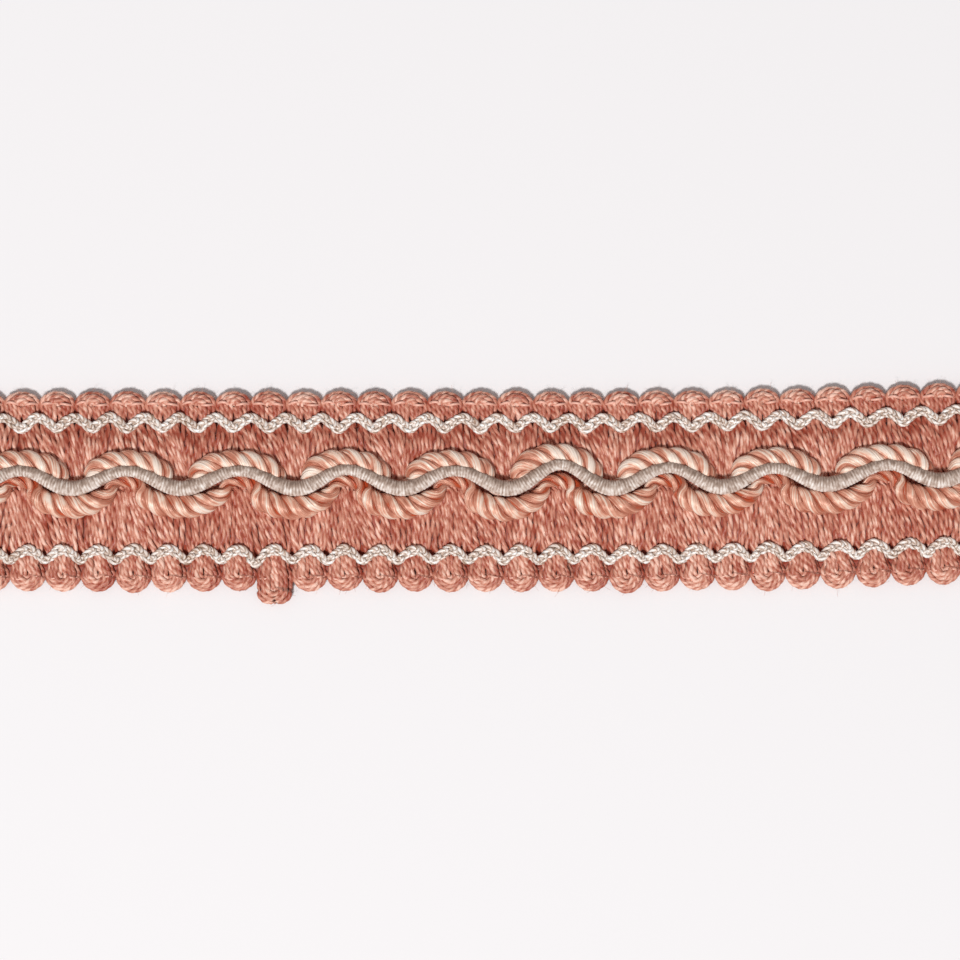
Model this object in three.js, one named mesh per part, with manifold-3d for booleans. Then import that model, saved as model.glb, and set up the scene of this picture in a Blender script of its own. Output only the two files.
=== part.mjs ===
// A cut length of wavy braid trim, lying flat on its back.
// The ground is a band of yarns with a row of small knobs along each edge. A thin ivory cord
// waves along each row, two twisted satin cords lie on the middle in arches that point away
// from each other, and a wrapped cord waves over them.
// Millimetres. X runs along the strip, Y across it to the far edge, Z up from the back.
import * as THREE from 'three';
import { mergeVertices } from 'three/addons/utils/BufferGeometryUtils.js';
import Module from 'manifold-3d';

// Repeats along the strip
const knobPitch = 4.37;
const knobCount = 29;
const stripLength = knobPitch * knobCount;
const halfLength = stripLength / 2;
const wavePeriod = 13.37;
const firstCrest = -70.02;
const firstTrough = firstCrest + wavePeriod / 2;

// How far each wave lies along from its even place: crest and trough of the wrapped cord,
// and the turn of the satin cord that lies under each of them. And how much further than
// usual the far arch and the crest reach to the far side, and the near arch to the near side.
const waves = [
  { crest: 0.00, nearTurn: 0.00, trough: 0.00, farTurn: 0.00, lift: 0.00, drop: 0.00 },
  { crest: -0.05, nearTurn: -0.20, trough: -0.54, farTurn: 0.07, lift: 0.00, drop: 0.00 },
  { crest: -0.30, nearTurn: -0.40, trough: -0.30, farTurn: -0.36, lift: 0.00, drop: 0.00 },
  { crest: 0.20, nearTurn: 0.40, trough: 0.57, farTurn: 0.14, lift: 0.00, drop: 0.12 },
  { crest: 0.07, nearTurn: 0.30, trough: 0.32, farTurn: -0.24, lift: 0.15, drop: 0.12 },
  { crest: -0.05, nearTurn: 0.15, trough: -0.05, farTurn: -0.61, lift: 0.00, drop: 0.35 },
  { crest: -0.30, nearTurn: -0.45, trough: -0.42, farTurn: -0.79, lift: 0.80, drop: 0.05 },
  { crest: -0.17, nearTurn: -0.50, trough: -0.30, farTurn: -0.24, lift: 0.30, drop: 0.00 },
  { crest: -0.67, nearTurn: -0.80, trough: -0.79, farTurn: -0.54, lift: 0.00, drop: 0.00 },
  { crest: -0.05, nearTurn: -0.20, trough: -0.05, farTurn: -0.05, lift: 0.00, drop: 0.00 },
  { crest: 0.00, nearTurn: 0.00, trough: 0.00, farTurn: 0.00, lift: 0.00, drop: 0.00 },
];

// The strip bends slowly to the far side towards its right end
const bendStart = 8;
const bendSpan = 49;
const bendRise = 1.0;

// Ground, in heights above the back and distances from its middle line
const farKnob = { tip: 12.4, notch: 1.1, roundness: 2.6 };
const nearKnob = { tip: 12.6, notch: 1.45, roundness: 2.8 };
const nearRowShift = 0.74;
const evenEnd = 0.3;
const knobHeight = 1.85;
const knobSwell = 0.35;
const rimHeight = 0.9;
const footInset = 0.55;
const bundleHeight = 1.75;
const bundleSwell = 0.15;
const innerLipHeight = 1.5;
const fieldHeight = 1.95;
const bedEdgeHeight = 1.25;
const bedHeight = 1.0;
const bedMiddle = 0.8;
const bedReach = { far: 4.4, near: 2.85 };
const bedWave = 0.7;
const stepsPerKnob = 6;
const pulledKnob = { index: 8, longer: 1.5, flat: 0.7 };

// Ivory edge cords
const edgeCord = { width: 1.3, height: 0.9, far: 8.42, near: -7.8, swing: 0.53, sides: 5 };
const grooveFloor = 1.12;
const grooveReach = 1.15;

// Satin cords, each an arch and a tight turn by turns
const satin = { width: 2.48, height: 2.2, lead: 6.7, plies: 3, groove: 0.7, step: 0.86 };
const satinArch = { far: 1.61, near: 0.0, rise: 2.35, turnDepth: 1.25, turnReach: 1.92 };
const turnSqueeze = { width: 0.86, height: 0.74 };

// Wrapped cord
const wrapped = { width: 1.8, height: 1.6, middle: 1.28, swing: 0.97, sides: 6, stepsPerWave: 10 };
const archClearance = 0.15;

// Between pieces that lie on each other, and past each end before the cords are cut
const restGap = 0.3;
const runOver = 1;
const cutRoom = 60;

const colours = { coral: 0xc47660, ivory: 0xe6dfd0, peach: 0xeeb59d, beige: 0xb9ab9d };

const wasm = await Module();
wasm.setup();

function bend(x) {
  const past = Math.max(0, x - bendStart) / bendSpan;
  return bendRise * past * past;
}

// The number of the knob at x, with the share of it passed. The near row lies a little along
// from the far row, but both are cut at a notch.
function knobAt(x, side) {
  const fromEnd = halfLength - Math.abs(x);
  const shift = nearRowShift * THREE.MathUtils.smoothstep(fromEnd, evenEnd, knobPitch);
  return (x - (side < 0 ? shift : 0) + halfLength) / knobPitch;
}

// Where a place on one row of knobs lies between two notches, from -1 to 1 with the tip at 0
function placeInKnob(x, side) {
  const knob = knobAt(x, side);
  return 2 * (knob - Math.floor(knob)) - 1;
}

// The distance from the middle line to the scalloped edge
function edgeReach(x, side) {
  const place = Math.abs(placeInKnob(x, side));
  const shape = side > 0 ? farKnob : nearKnob;
  let reach = shape.tip - shape.notch * place ** shape.roundness;
  const knob = Math.floor(knobAt(x, side));
  if (side < 0 && knob === pulledKnob.index && place < 1) {
    reach += pulledKnob.longer * Math.min(1, (1 - place) / (1 - pulledKnob.flat));
  }
  return reach;
}

// The edge cord's middle line lies nearer to the strip's middle at each knob
function edgeCordY(x, side) {
  const swing = edgeCord.swing * Math.cos(Math.PI * placeInKnob(x, side));
  return (side > 0 ? edgeCord.far : edgeCord.near) - side * swing;
}

// One side of the ground's section at x, from the foot at its edge to the satin cords' bed
function halfSection(x, side) {
  const edge = side * edgeReach(x, side);
  const groove = edgeCordY(x, side);
  const outerLip = groove + side * grooveReach;
  const innerLip = groove - side * grooveReach;
  const knob = Math.cos(Math.PI * placeInKnob(x, side));
  const wave = Math.cos((2 * Math.PI * (x - firstCrest)) / wavePeriod);
  const bedEdge = (side > 0 ? bedReach.far : -bedReach.near) + bedWave * wave;
  return [
    { y: edge - side * footInset, z: 0 },
    { y: edge, z: rimHeight },
    { y: (edge + outerLip) / 2, z: knobHeight + knobSwell * knob },
    { y: outerLip, z: bundleHeight + bundleSwell * knob },
    { y: groove, z: grooveFloor },
    { y: innerLip, z: innerLipHeight - bundleSwell * knob },
    { y: (innerLip + bedEdge) / 2, z: fieldHeight },
    { y: bedEdge, z: bedEdgeHeight },
  ];
}

function groundSection(x) {
  const far = halfSection(x, 1);
  const near = halfSection(x, -1).reverse();
  const section = [...far, { y: bedMiddle, z: bedHeight }, ...near, { y: 0, z: 0 }];
  return section.map((point) => ({ y: point.y + bend(x), z: point.z }));
}

// The ground is its own section, extruded, with the points of each step moved to the
// section at that place
function makeGround() {
  const outline = groundSection(-halfLength).map((point) => new THREE.Vector2(point.y, point.z));
  const steps = knobCount * stepsPerKnob;
  const geometry = new THREE.ExtrudeGeometry(new THREE.Shape(outline), {
    depth: stripLength,
    steps,
    bevelEnabled: false,
  });
  const points = geometry.attributes.position;
  const start = new THREE.Vector2();
  for (let i = 0; i < points.count; i += 1) {
    start.set(points.getX(i), points.getY(i));
    const corner = outline.findIndex((point) => point.distanceTo(start) < 1e-4);
    const x = points.getZ(i) - halfLength;
    const placed = groundSection(x)[corner];
    points.setXYZ(i, x, placed.y, placed.z);
  }
  return geometry;
}

// A capped cylinder with its points laid round a line. The line gives a middle point and a
// sideways direction at each place from 0 to 1, and the section gives a reach to the side
// and upwards at each angle.
function sweep(sides, steps, line, section) {
  const geometry = new THREE.CylinderGeometry(1, 1, 1, sides, steps);
  const points = geometry.attributes.position;
  for (let i = 0; i < points.count; i += 1) {
    const place = points.getY(i) + 0.5;
    const angle = Math.atan2(points.getX(i), points.getZ(i));
    const share = Math.hypot(points.getX(i), points.getZ(i));
    const { middle, sideways } = line(place);
    const reach = section(place, angle);
    points.setXYZ(
      i,
      middle.x + sideways.x * reach.side * share,
      middle.y + sideways.y * reach.side * share,
      middle.z + reach.up * share,
    );
  }
  return geometry;
}

function solidOf(geometry) {
  geometry.deleteAttribute('normal');
  geometry.deleteAttribute('uv');
  const merged = mergeVertices(geometry, 1e-5);
  const vertProperties = new Float32Array(merged.attributes.position.array);
  const triVerts = new Uint32Array(merged.index.array);
  return new wasm.Manifold(new wasm.Mesh({ numProp: 3, vertProperties, triVerts }));
}

// Cuts a cord that runs past both ends straight across, level with the ground's ends
function cutToLength(cord) {
  const room = new THREE.BoxGeometry(stripLength, cutRoom, cutRoom);
  const mesh = solidOf(cord).intersect(solidOf(room)).getMesh();
  const geometry = new THREE.BufferGeometry();
  geometry.setAttribute('position', new THREE.BufferAttribute(mesh.vertProperties, 3));
  geometry.setIndex(new THREE.BufferAttribute(mesh.triVerts, 1));
  return geometry;
}

function sidewaysAt(lineY, x) {
  const reach = 0.01;
  return new THREE.Vector2(lineY(x - reach) - lineY(x + reach), 2 * reach).normalize();
}

function makeEdgeCord(side) {
  const lineY = (x) => edgeCordY(x, side) + bend(x);
  const height = grooveFloor + restGap + edgeCord.height / 2;
  const steps = knobCount * stepsPerKnob;
  const line = (place) => {
    const x = (place - 0.5) * (stripLength + 2 * runOver);
    return { middle: new THREE.Vector3(x, lineY(x), height), sideways: sidewaysAt(lineY, x) };
  };
  const section = (place, angle) => ({
    side: (edgeCord.width / 2) * Math.cos(angle),
    up: (edgeCord.height / 2) * Math.sin(angle),
  });
  return cutToLength(sweep(edgeCord.sides, steps, line, section));
}

// The place of the turns that one satin cord makes, along the strip
function turnPlaces(side) {
  const first = side > 0 ? firstTrough : firstCrest;
  const column = side > 0 ? 'farTurn' : 'nearTurn';
  return waves.map((wave, count) => first + count * wavePeriod + wave[column]);
}

// The satin cord's route: wide arches to one side, joined by tight turns
function satinRoute(side) {
  const route = new THREE.CurvePath();
  const places = turnPlaces(side);
  const level = side > 0 ? satinArch.far : satinArch.near;
  const { turnReach, turnDepth, rise } = satinArch;
  const forward = side > 0;
  for (let i = 0; i < places.length; i += 1) {
    const turn = [places[i], level, turnReach, turnDepth, Math.PI, forward ? 2 * Math.PI : 0, !forward];
    route.add(new THREE.EllipseCurve(...turn));
    if (i + 1 < places.length) {
      const middle = (places[i] + places[i + 1]) / 2;
      const reach = (places[i + 1] - places[i]) / 2 - turnReach;
      const further = forward ? waves[i + 1].lift : waves[i].drop;
      const arch = [middle, level, reach, rise + further, Math.PI, forward ? 0 : 2 * Math.PI, forward];
      route.add(new THREE.EllipseCurve(...arch));
    }
  }
  return route;
}

function makeSatinCord(side) {
  const route = satinRoute(side);
  const level = side > 0 ? satinArch.far : satinArch.near;
  const length = route.getLength();
  // 0 over an arch and 1 at a tight turn, where the wrapped cord presses the satin cord flat
  const pressed = (place) => {
    const away = side * (level - route.getPoint(place).y);
    return THREE.MathUtils.smoothstep(away / satinArch.turnDepth, -0.6, 0.8);
  };
  const heightAt = (place) => satin.height * (1 - pressed(place) * (1 - turnSqueeze.height));
  const line = (place) => {
    const at = route.getPoint(place);
    const ahead = route.getPoint(Math.min(1, place + 1e-4));
    const behind = route.getPoint(Math.max(0, place - 1e-4));
    const sideways = new THREE.Vector2(behind.y - ahead.y, ahead.x - behind.x).normalize();
    const height = bedHeight + restGap + heightAt(place) / 2;
    return { middle: new THREE.Vector3(at.x, at.y + bend(at.x), height), sideways };
  };
  const section = (place, angle) => {
    const twist = (2 * Math.PI * place * length) / satin.lead;
    const onPly = Math.cos(satin.plies * angle) > 0;
    const share = onPly ? 0.5 : 0.5 * satin.groove;
    const width = satin.width * (1 - pressed(place) * (1 - turnSqueeze.width));
    return {
      side: width * share * Math.cos(angle + twist),
      up: heightAt(place) * share * Math.sin(angle + twist),
    };
  };
  const steps = Math.round(length / satin.step);
  return cutToLength(sweep(2 * satin.plies, steps, line, section));
}

// The wrapped cord's place across the strip at x, from crest to trough and back
function wrappedY(x) {
  const marks = waves.flatMap((wave, count) => [
    { x: firstCrest + count * wavePeriod + wave.crest, y: wrapped.swing + wave.lift },
    { x: firstTrough + count * wavePeriod + wave.trough, y: -wrapped.swing },
  ]);
  const next = marks.findIndex((mark) => mark.x > x);
  const from = marks[next - 1];
  const share = (x - from.x) / (marks[next].x - from.x);
  const eased = (1 - Math.cos(Math.PI * share)) / 2;
  return wrapped.middle + THREE.MathUtils.lerp(from.y, marks[next].y, eased) + bend(x);
}

function makeWrappedCord() {
  const overTurn = bedHeight + restGap + satin.height * turnSqueeze.height;
  const height = overTurn + restGap + archClearance + wrapped.height / 2;
  const steps = Math.round((wrapped.stepsPerWave * stripLength) / wavePeriod);
  const line = (place) => {
    const x = (place - 0.5) * (stripLength + 2 * runOver);
    const middle = new THREE.Vector3(x, wrappedY(x), height);
    return { middle, sideways: sidewaysAt(wrappedY, x) };
  };
  const section = (place, angle) => ({
    side: (wrapped.width / 2) * Math.cos(angle),
    up: (wrapped.height / 2) * Math.sin(angle),
  });
  return cutToLength(sweep(wrapped.sides, steps, line, section));
}

function addPiece(group, name, geometry, color, roughness) {
  const material = new THREE.MeshStandardMaterial({ color, roughness, metalness: 0 });
  const mesh = new THREE.Mesh(geometry, material);
  mesh.name = name;
  group.add(mesh);
}

const trim = new THREE.Group();
addPiece(trim, 'ground', makeGround(), colours.coral, 0.9);
addPiece(trim, 'far_edge_cord', makeEdgeCord(1), colours.ivory, 0.5);
addPiece(trim, 'near_edge_cord', makeEdgeCord(-1), colours.ivory, 0.5);
addPiece(trim, 'far_satin_cord', makeSatinCord(1), colours.peach, 0.35);
addPiece(trim, 'near_satin_cord', makeSatinCord(-1), colours.peach, 0.35);
addPiece(trim, 'wrapped_cord', makeWrappedCord(), colours.beige, 0.65);

// The origin is on the back, under the middle of the strip's box
const box = new THREE.Box3().setFromObject(trim);
const centre = box.getCenter(new THREE.Vector3());
trim.position.set(-centre.x, -centre.y, -box.min.z);

export default trim;
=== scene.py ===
# A cut length of wavy braid trim, lying on its back on a pale table and seen from straight above.
# Sizes are in millimetres until a mesh is made. x runs along the strip, y across it from its middle line
# towards the far edge, and z up from the back.
import math

import bpy
import numpy as np
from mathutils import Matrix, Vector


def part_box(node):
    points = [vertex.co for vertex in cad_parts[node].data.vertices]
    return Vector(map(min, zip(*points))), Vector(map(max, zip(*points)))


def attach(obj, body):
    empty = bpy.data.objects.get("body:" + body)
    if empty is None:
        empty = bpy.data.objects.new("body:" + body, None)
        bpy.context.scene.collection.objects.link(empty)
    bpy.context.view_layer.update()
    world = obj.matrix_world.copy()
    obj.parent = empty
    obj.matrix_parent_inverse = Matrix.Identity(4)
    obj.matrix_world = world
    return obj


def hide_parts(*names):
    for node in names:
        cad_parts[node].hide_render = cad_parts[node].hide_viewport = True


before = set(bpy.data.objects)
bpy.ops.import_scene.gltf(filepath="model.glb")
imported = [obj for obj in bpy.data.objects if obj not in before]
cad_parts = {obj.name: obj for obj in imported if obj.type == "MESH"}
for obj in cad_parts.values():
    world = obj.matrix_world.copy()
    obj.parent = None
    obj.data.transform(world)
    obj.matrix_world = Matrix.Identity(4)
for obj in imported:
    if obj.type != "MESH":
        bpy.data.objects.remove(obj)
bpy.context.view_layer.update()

bpy.ops.object.select_all(action="DESELECT")
chance = np.random.default_rng(11)
mm = 0.001  # in metres, which the frame and Blender use
anyTurn = 3  # radians, times a draw from -1 to 1, for a twist or a wave that may start anywhere

# The layout that every piece shares. Where values differ by side, 1 is the far side and -1 the near one.
strip = {
    "knobPitch": 4.37,  # one knob on each edge
    "knobCount": 29,
    "knobTip": 12.4,  # from the middle line to the tips
    "nearRowShift": 0.74,  # the near knobs lie this far along, but for the last at each end
    "nearRowShiftFrom": 0.3,  # millimetres from each end
    "edgeCordFar": 8.55,
    "edgeCordNear": -7.8,
    "edgeCordSwing": 0.53,
    "edgeCordCusp": 0.28,  # how much further both cords dip to the near side
    "wavePeriod": 13.37,
    "firstCrest": -70.02,
    "bendStart": 8.0,  # from here on the strip bends slowly to its far side
    "bendSpan": 49.0,
    "bendRise": 1.0,
}
halfLength = strip["knobPitch"] * strip["knobCount"] / 2

# How far each wave lies along from its even place: crest and trough of the wrapped cord, and the turn of
# the satin cord that lies under each of them. And how much further than usual the far arch and the crest
# reach to the far side, and the near arch to the near side.
waves = [
    {"crest": 0.00, "nearTurn": 0.00, "trough": 0.00, "farTurn": 0.00, "lift": 0.00, "drop": 0.00},
    {"crest": -0.05, "nearTurn": -0.20, "trough": -0.54, "farTurn": 0.07, "lift": 0.00, "drop": 0.00},
    {"crest": -0.30, "nearTurn": -0.40, "trough": -0.30, "farTurn": -0.36, "lift": 0.00, "drop": 0.00},
    {"crest": 0.20, "nearTurn": 0.40, "trough": 0.57, "farTurn": 0.14, "lift": 0.00, "drop": 0.12},
    {"crest": 0.07, "nearTurn": 0.30, "trough": 0.32, "farTurn": -0.24, "lift": 0.15, "drop": 0.12},
    {"crest": -0.05, "nearTurn": 0.15, "trough": -0.05, "farTurn": -0.61, "lift": 0.00, "drop": 0.35},
    {"crest": -0.30, "nearTurn": -0.45, "trough": -0.42, "farTurn": -0.79, "lift": 0.80, "drop": 0.05},
    {"crest": -0.17, "nearTurn": -0.50, "trough": -0.30, "farTurn": -0.24, "lift": 0.30, "drop": 0.00},
    {"crest": -0.67, "nearTurn": -0.80, "trough": -0.79, "farTurn": -0.54, "lift": 0.00, "drop": 0.00},
    {"crest": -0.05, "nearTurn": -0.20, "trough": -0.05, "farTurn": -0.05, "lift": 0.00, "drop": 0.00},
    {"crest": 0.00, "nearTurn": 0.00, "trough": 0.00, "farTurn": 0.00, "lift": 0.00, "drop": 0.00},
]


def bend(x):
    past = np.maximum(0, x - strip["bendStart"]) / strip["bendSpan"]
    return strip["bendRise"] * past**2


# The middle line's place in the frame, from the far edge of the ground
lastTip = halfLength - strip["knobPitch"] / 2
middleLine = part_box("ground")[1].y / mm - strip["knobTip"] - float(bend(lastTip))


def ease(at, low, high):
    share = np.clip((at - low) / (high - low), 0, 1)
    return share * share * (3 - 2 * share)


# Eases from one height to the next between the marks
def easeThrough(at, marks, heights):
    total = heights[0]
    for i in range(1, len(marks)):
        total = total + (heights[i] - heights[i - 1]) * ease(at, marks[i - 1], marks[i])
    return total


# A smooth hump, 1 at its middle
def hump(at, middle, wide):
    return np.exp(-(((at - middle) / wide) ** 2))


def unit(vectors):
    return vectors / np.linalg.norm(vectors, axis=-1, keepdims=True)


def upwards(points):
    outs = np.zeros_like(points)
    outs[..., 2] = 1
    return outs


# The corners of a round section with a radius of 1
def ringOutline(corners):
    angle = 2 * np.pi * np.arange(corners) / corners
    return np.stack([np.cos(angle), np.sin(angle)], axis=-1)


def rowShift(x):
    return strip["nearRowShift"] * ease(halfLength - np.abs(x), strip["nearRowShiftFrom"], strip["knobPitch"])


# Where a place on one row of knobs lies between two notches, from -1 to 1 with the tip at 0
def placeInKnob(x, side):
    shift = rowShift(x) if side < 0 else 0
    knob = (x - shift + halfLength) / strip["knobPitch"]
    return 2 * (knob - np.floor(knob)) - 1


# From 0 at a knob's middle to 1 at the notches beside it
def notchAt(x, side):
    return 0.5 - 0.5 * np.cos(np.pi * placeInKnob(x, side))


def edgeCordY(x, side):
    turn = np.cos(np.pi * placeInKnob(x, side))
    cusp = strip["edgeCordCusp"] * np.maximum(0, side * turn) ** 3
    middle = strip["edgeCordFar"] if side > 0 else strip["edgeCordNear"]
    return middle - side * strip["edgeCordSwing"] * turn - cusp


# How far a place lies outside the edge cord of its side
def pastCord(x, y, side):
    return side * y - side * edgeCordY(x, side)


# Where the waves' crests and troughs lie along, by the two names of a wave's values
def wavePlaces(onCrest, onTrough):
    places = []
    for count, wave in enumerate(waves):
        crest = strip["firstCrest"] + count * strip["wavePeriod"]
        places += [crest + wave[onCrest], crest + strip["wavePeriod"] / 2 + wave[onTrough]]
    return np.array(places)


# Makes one mesh from arrays of points and four-sided faces, with the strip's middle line put in its place
def meshFrom(name, points, faces, caps, corners, uvs, marks):
    mesh = bpy.data.meshes.new(name)
    placed = (points.reshape(-1, 3) + [0, middleLine, 0]) * mm
    loops = np.concatenate([faces.ravel(), caps.ravel()]).astype(np.int32)
    starts = np.concatenate([np.arange(len(faces)) * 4, faces.size + np.arange(len(caps)) * corners])
    mesh.vertices.add(len(placed))
    mesh.vertices.foreach_set("co", placed.astype(np.float32).ravel())
    mesh.loops.add(len(loops))
    mesh.loops.foreach_set("vertex_index", loops)
    mesh.polygons.add(len(starts))
    mesh.polygons.foreach_set("loop_start", starts.astype(np.int32))
    mesh.polygons.foreach_set("use_smooth", np.arange(len(starts)) < len(faces))
    mesh.update(calc_edges=True)
    layer = mesh.uv_layers.new(name="alongYarn")
    both = np.concatenate([uvs.reshape(-1, 2), np.zeros((caps.size, 2))])
    layer.data.foreach_set("uv", both.astype(np.float32).ravel())
    for key, values in marks.items():
        kind, slot = ("FLOAT_VECTOR", "vector") if values.shape[-1] == 3 else ("FLOAT", "value")
        attribute = mesh.attributes.new(key, kind, "POINT")
        attribute.data.foreach_set(slot, values.astype(np.float32).ravel())
    mesh.validate()
    piece = bpy.data.objects.new(name, mesh)
    bpy.context.scene.collection.objects.link(piece)
    return piece


# How yarns lie in their textures: the length of yarn for one step of v, and how far apart two yarns are in
# the noise, so that no two have the same fibres
texture = {"lengthPerV": 10, "yarnsApart": 7}


# The places of each face's corners in the texture: u goes round the yarn and v along it
def tubeUvs(shape, length, step):
    across = 1 / shape[2]
    ahead = step / texture["lengthPerV"]
    u = np.broadcast_to(np.arange(shape[2]) / shape[2], shape)
    v = np.broadcast_to(length[:, : shape[1], None] / texture["lengthPerV"], shape)
    corners = [(0, 0), (across, 0), (across, ahead), (0, ahead)]
    return np.stack([np.stack([u + right, v + up], axis=-1) for right, up in corners], axis=-2)


# Lays one tube along each row of middle points. outs point to the section's first corner, and the
# section gives each corner's reach out and across. Each point keeps its place in the yarn laid out
# straight, its relief shading, which the materials paint as light on ridges and shade in furrows, and a
# tone, which for the ground carries painted light and shade as well as uneven tone.
def layTubes(name, middles, outs, section, reliefShading, tones=0.0, closed=False):
    count, steps = middles.shape[:2]
    if closed:
        travel = np.roll(middles, -1, axis=1) - np.roll(middles, 1, axis=1)
    else:
        travel = np.gradient(middles, axis=1)
    travel = unit(travel)
    across = unit(np.cross(travel, outs))
    outs = np.cross(across, travel)
    section = np.broadcast_to(section, (count, steps) + section.shape[-2:])
    corners = section.shape[2]
    points = (
        middles[:, :, None]
        + outs[:, :, None] * section[..., 0:1]
        + across[:, :, None] * section[..., 1:2]
    )
    reach = np.linalg.norm(np.diff(middles, axis=1), axis=-1)
    length = np.concatenate([np.zeros((count, 1)), np.cumsum(reach, axis=1)], axis=1)
    index = np.arange(count * steps * corners).reshape(count, steps, corners)
    here = index if closed else index[:, :-1]
    ahead = np.roll(index, -1, axis=1) if closed else index[:, 1:]
    faces = np.stack([here, np.roll(here, -1, axis=2), np.roll(ahead, -1, axis=2), ahead], axis=-1)
    caps = np.zeros((0, corners), int)
    if not closed:
        caps = np.concatenate([index[:, 0, ::-1], index[:, -1]])
    uvs = tubeUvs(here.shape, length, float(np.median(reach)))
    outline = np.linalg.norm(section, axis=-1).mean() * ringOutline(corners)
    laid = np.zeros((count, steps, corners, 3))
    laid[..., 0] = outline[:, 0] + texture["yarnsApart"] * np.arange(count)[:, None, None]
    laid[..., 1] = outline[:, 1]
    laid[..., 2] = length[..., None]
    marks = {
        "laid": laid,
        "reliefShading": np.broadcast_to(reliefShading, laid.shape[:3])[..., None],
        "tone": np.broadcast_to(np.asarray(tones)[..., None], laid.shape[:3])[..., None],
    }
    return meshFrom(name, points, faces.reshape(-1, 4), caps, corners, uvs, marks)


def finish(piece, node, material):
    piece.data.materials.clear()
    piece.data.materials.append(material)
    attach(piece, "root")
    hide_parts(node)
    print(f"{piece.name}: {len(piece.data.polygons)} faces")


def linearOf(hexColour):
    parts = [int(hexColour[i : i + 2], 16) / 255 for i in (0, 2, 4)]
    linear = [p / 12.92 if p <= 0.04045 else ((p + 0.055) / 1.055) ** 2.4 for p in parts]
    return (*linear, 1)


# Adds a node, sets its values and links its inputs
def addNode(tree, kind, inputs, **settings):
    node = tree.nodes.new(kind)
    for key, value in settings.items():
        setattr(node, key, value)
    for key, value in inputs.items():
        if isinstance(value, bpy.types.NodeSocket):
            tree.links.new(value, node.inputs[key])
        else:
            node.inputs[key].default_value = value
    return node


# One step of arithmetic on two sockets or numbers, as a socket
def reckon(tree, operation, first, second):
    return addNode(tree, "ShaderNodeMath", {0: first, 1: second}, operation=operation).outputs[0]


# A yarn or cord material: painted highlight on the ridges and painted shade in the twist's furrows from the
# relief shading, tone added from the tone marks (painted light and shade on the ground), noise for uneven
# tone, and fine fibres along it as a bump
def yarnMaterial(name, look):
    material = bpy.data.materials.new(name)
    material.use_nodes = True
    tree = material.node_tree
    tree.nodes.clear()
    laid = addNode(tree, "ShaderNodeAttribute", {}, attribute_name="laid").outputs["Vector"]
    reliefShading = addNode(tree, "ShaderNodeAttribute", {}, attribute_name="reliefShading").outputs["Fac"]
    tone = addNode(tree, "ShaderNodeAttribute", {}, attribute_name="tone").outputs["Fac"]
    drawn = addNode(tree, "ShaderNodeVectorMath", {0: laid, 1: look["fibreScale"]}, operation="MULTIPLY")
    fibres = addNode(tree, "ShaderNodeTexNoise", {"Vector": drawn.outputs[0], "Scale": 1.0, "Detail": 3.0})
    clouds = addNode(tree, "ShaderNodeTexNoise", {"Vector": laid, "Scale": look["cloudScale"], "Detail": 2.0})
    shade = reckon(tree, "MULTIPLY", fibres.outputs["Fac"], look["fibreShade"])
    patch = reckon(tree, "MULTIPLY", clouds.outputs["Fac"], look["cloudShade"])
    lit = reckon(tree, "ADD", reliefShading, shade)
    lit = reckon(tree, "ADD", lit, patch)
    lit = reckon(tree, "ADD", lit, tone)
    lit = reckon(tree, "SUBTRACT", lit, (look["fibreShade"] + look["cloudShade"]) / 2)
    ramp = addNode(tree, "ShaderNodeValToRGB", {"Fac": lit})
    stops = ramp.color_ramp.elements
    for i, (place, colour) in enumerate(look["colours"]):
        stop = stops[i] if i < 2 else stops.new(place)
        stop.position = place
        stop.color = linearOf(colour)
    depths = {"Strength": look["bumpStrength"], "Distance": look["bumpDepth"] * mm}
    bump = addNode(tree, "ShaderNodeBump", {"Height": fibres.outputs["Fac"], **depths})
    surface = {"Base Color": ramp.outputs["Color"], "Normal": bump.outputs["Normal"], **look["surface"]}
    shader = addNode(tree, "ShaderNodeBsdfPrincipled", surface)
    if look["surface"].get("Anisotropic"):
        tangent = addNode(tree, "ShaderNodeTangent", {}, direction_type="UV_MAP", uv_map="alongYarn")
        tree.links.new(tangent.outputs["Tangent"], shader.inputs["Tangent"])
    addNode(tree, "ShaderNodeOutputMaterial", {"Surface": shader.outputs["BSDF"]})
    return material


# Coral ground yarn: two plies of spun, mercerised cotton, softly glossy, with painted highlights on each ply
# and painted shade, deep red, in the furrows
coralYarn = yarnMaterial(
    "coral_spun_two_ply_yarn",
    {
        "colours": [(0.0, "A2442E"), (0.4, "BC6E58"), (0.75, "DA9880"), (1.0, "F6C6B2")],
        "fibreScale": (1.7, 1.7, 0.9),
        "fibreShade": 1.5,
        "cloudScale": 0.45,
        "cloudShade": 1.4,
        "bumpStrength": 0.8,
        "bumpDepth": 0.2,
        "surface": {"Roughness": 0.45, "IOR": 1.53, "Sheen Weight": 0.15, "Sheen Roughness": 0.4},
    },
)

# Peach satin cord: three plies of smooth rayon filament, glossy along the ply, with painted highlights near
# white on the plies' crowns and painted shade, orange, in the furrows
peachSatin = yarnMaterial(
    "peach_rayon_satin_filament",
    {
        "colours": [
            (0.0, "C4502C"),
            (0.2, "B56C54"),
            (0.42, "CE8870"),
            (0.6, "E6A48A"),
            (0.76, "F6D0BA"),
            (1.0, "FEEADB"),
        ],
        "fibreScale": (4.5, 4.5, 0.3),
        "fibreShade": 1.35,
        "cloudScale": 0.6,
        "cloudShade": 1.4,
        "bumpStrength": 1.0,
        "bumpDepth": 0.25,
        "surface": {
            "Roughness": 0.36,
            "IOR": 1.54,
            "Anisotropic": 0.85,
            "Specular IOR Level": 1.0,
            "Specular Tint": linearOf("FFE0CE"),
        },
    },
)

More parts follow.
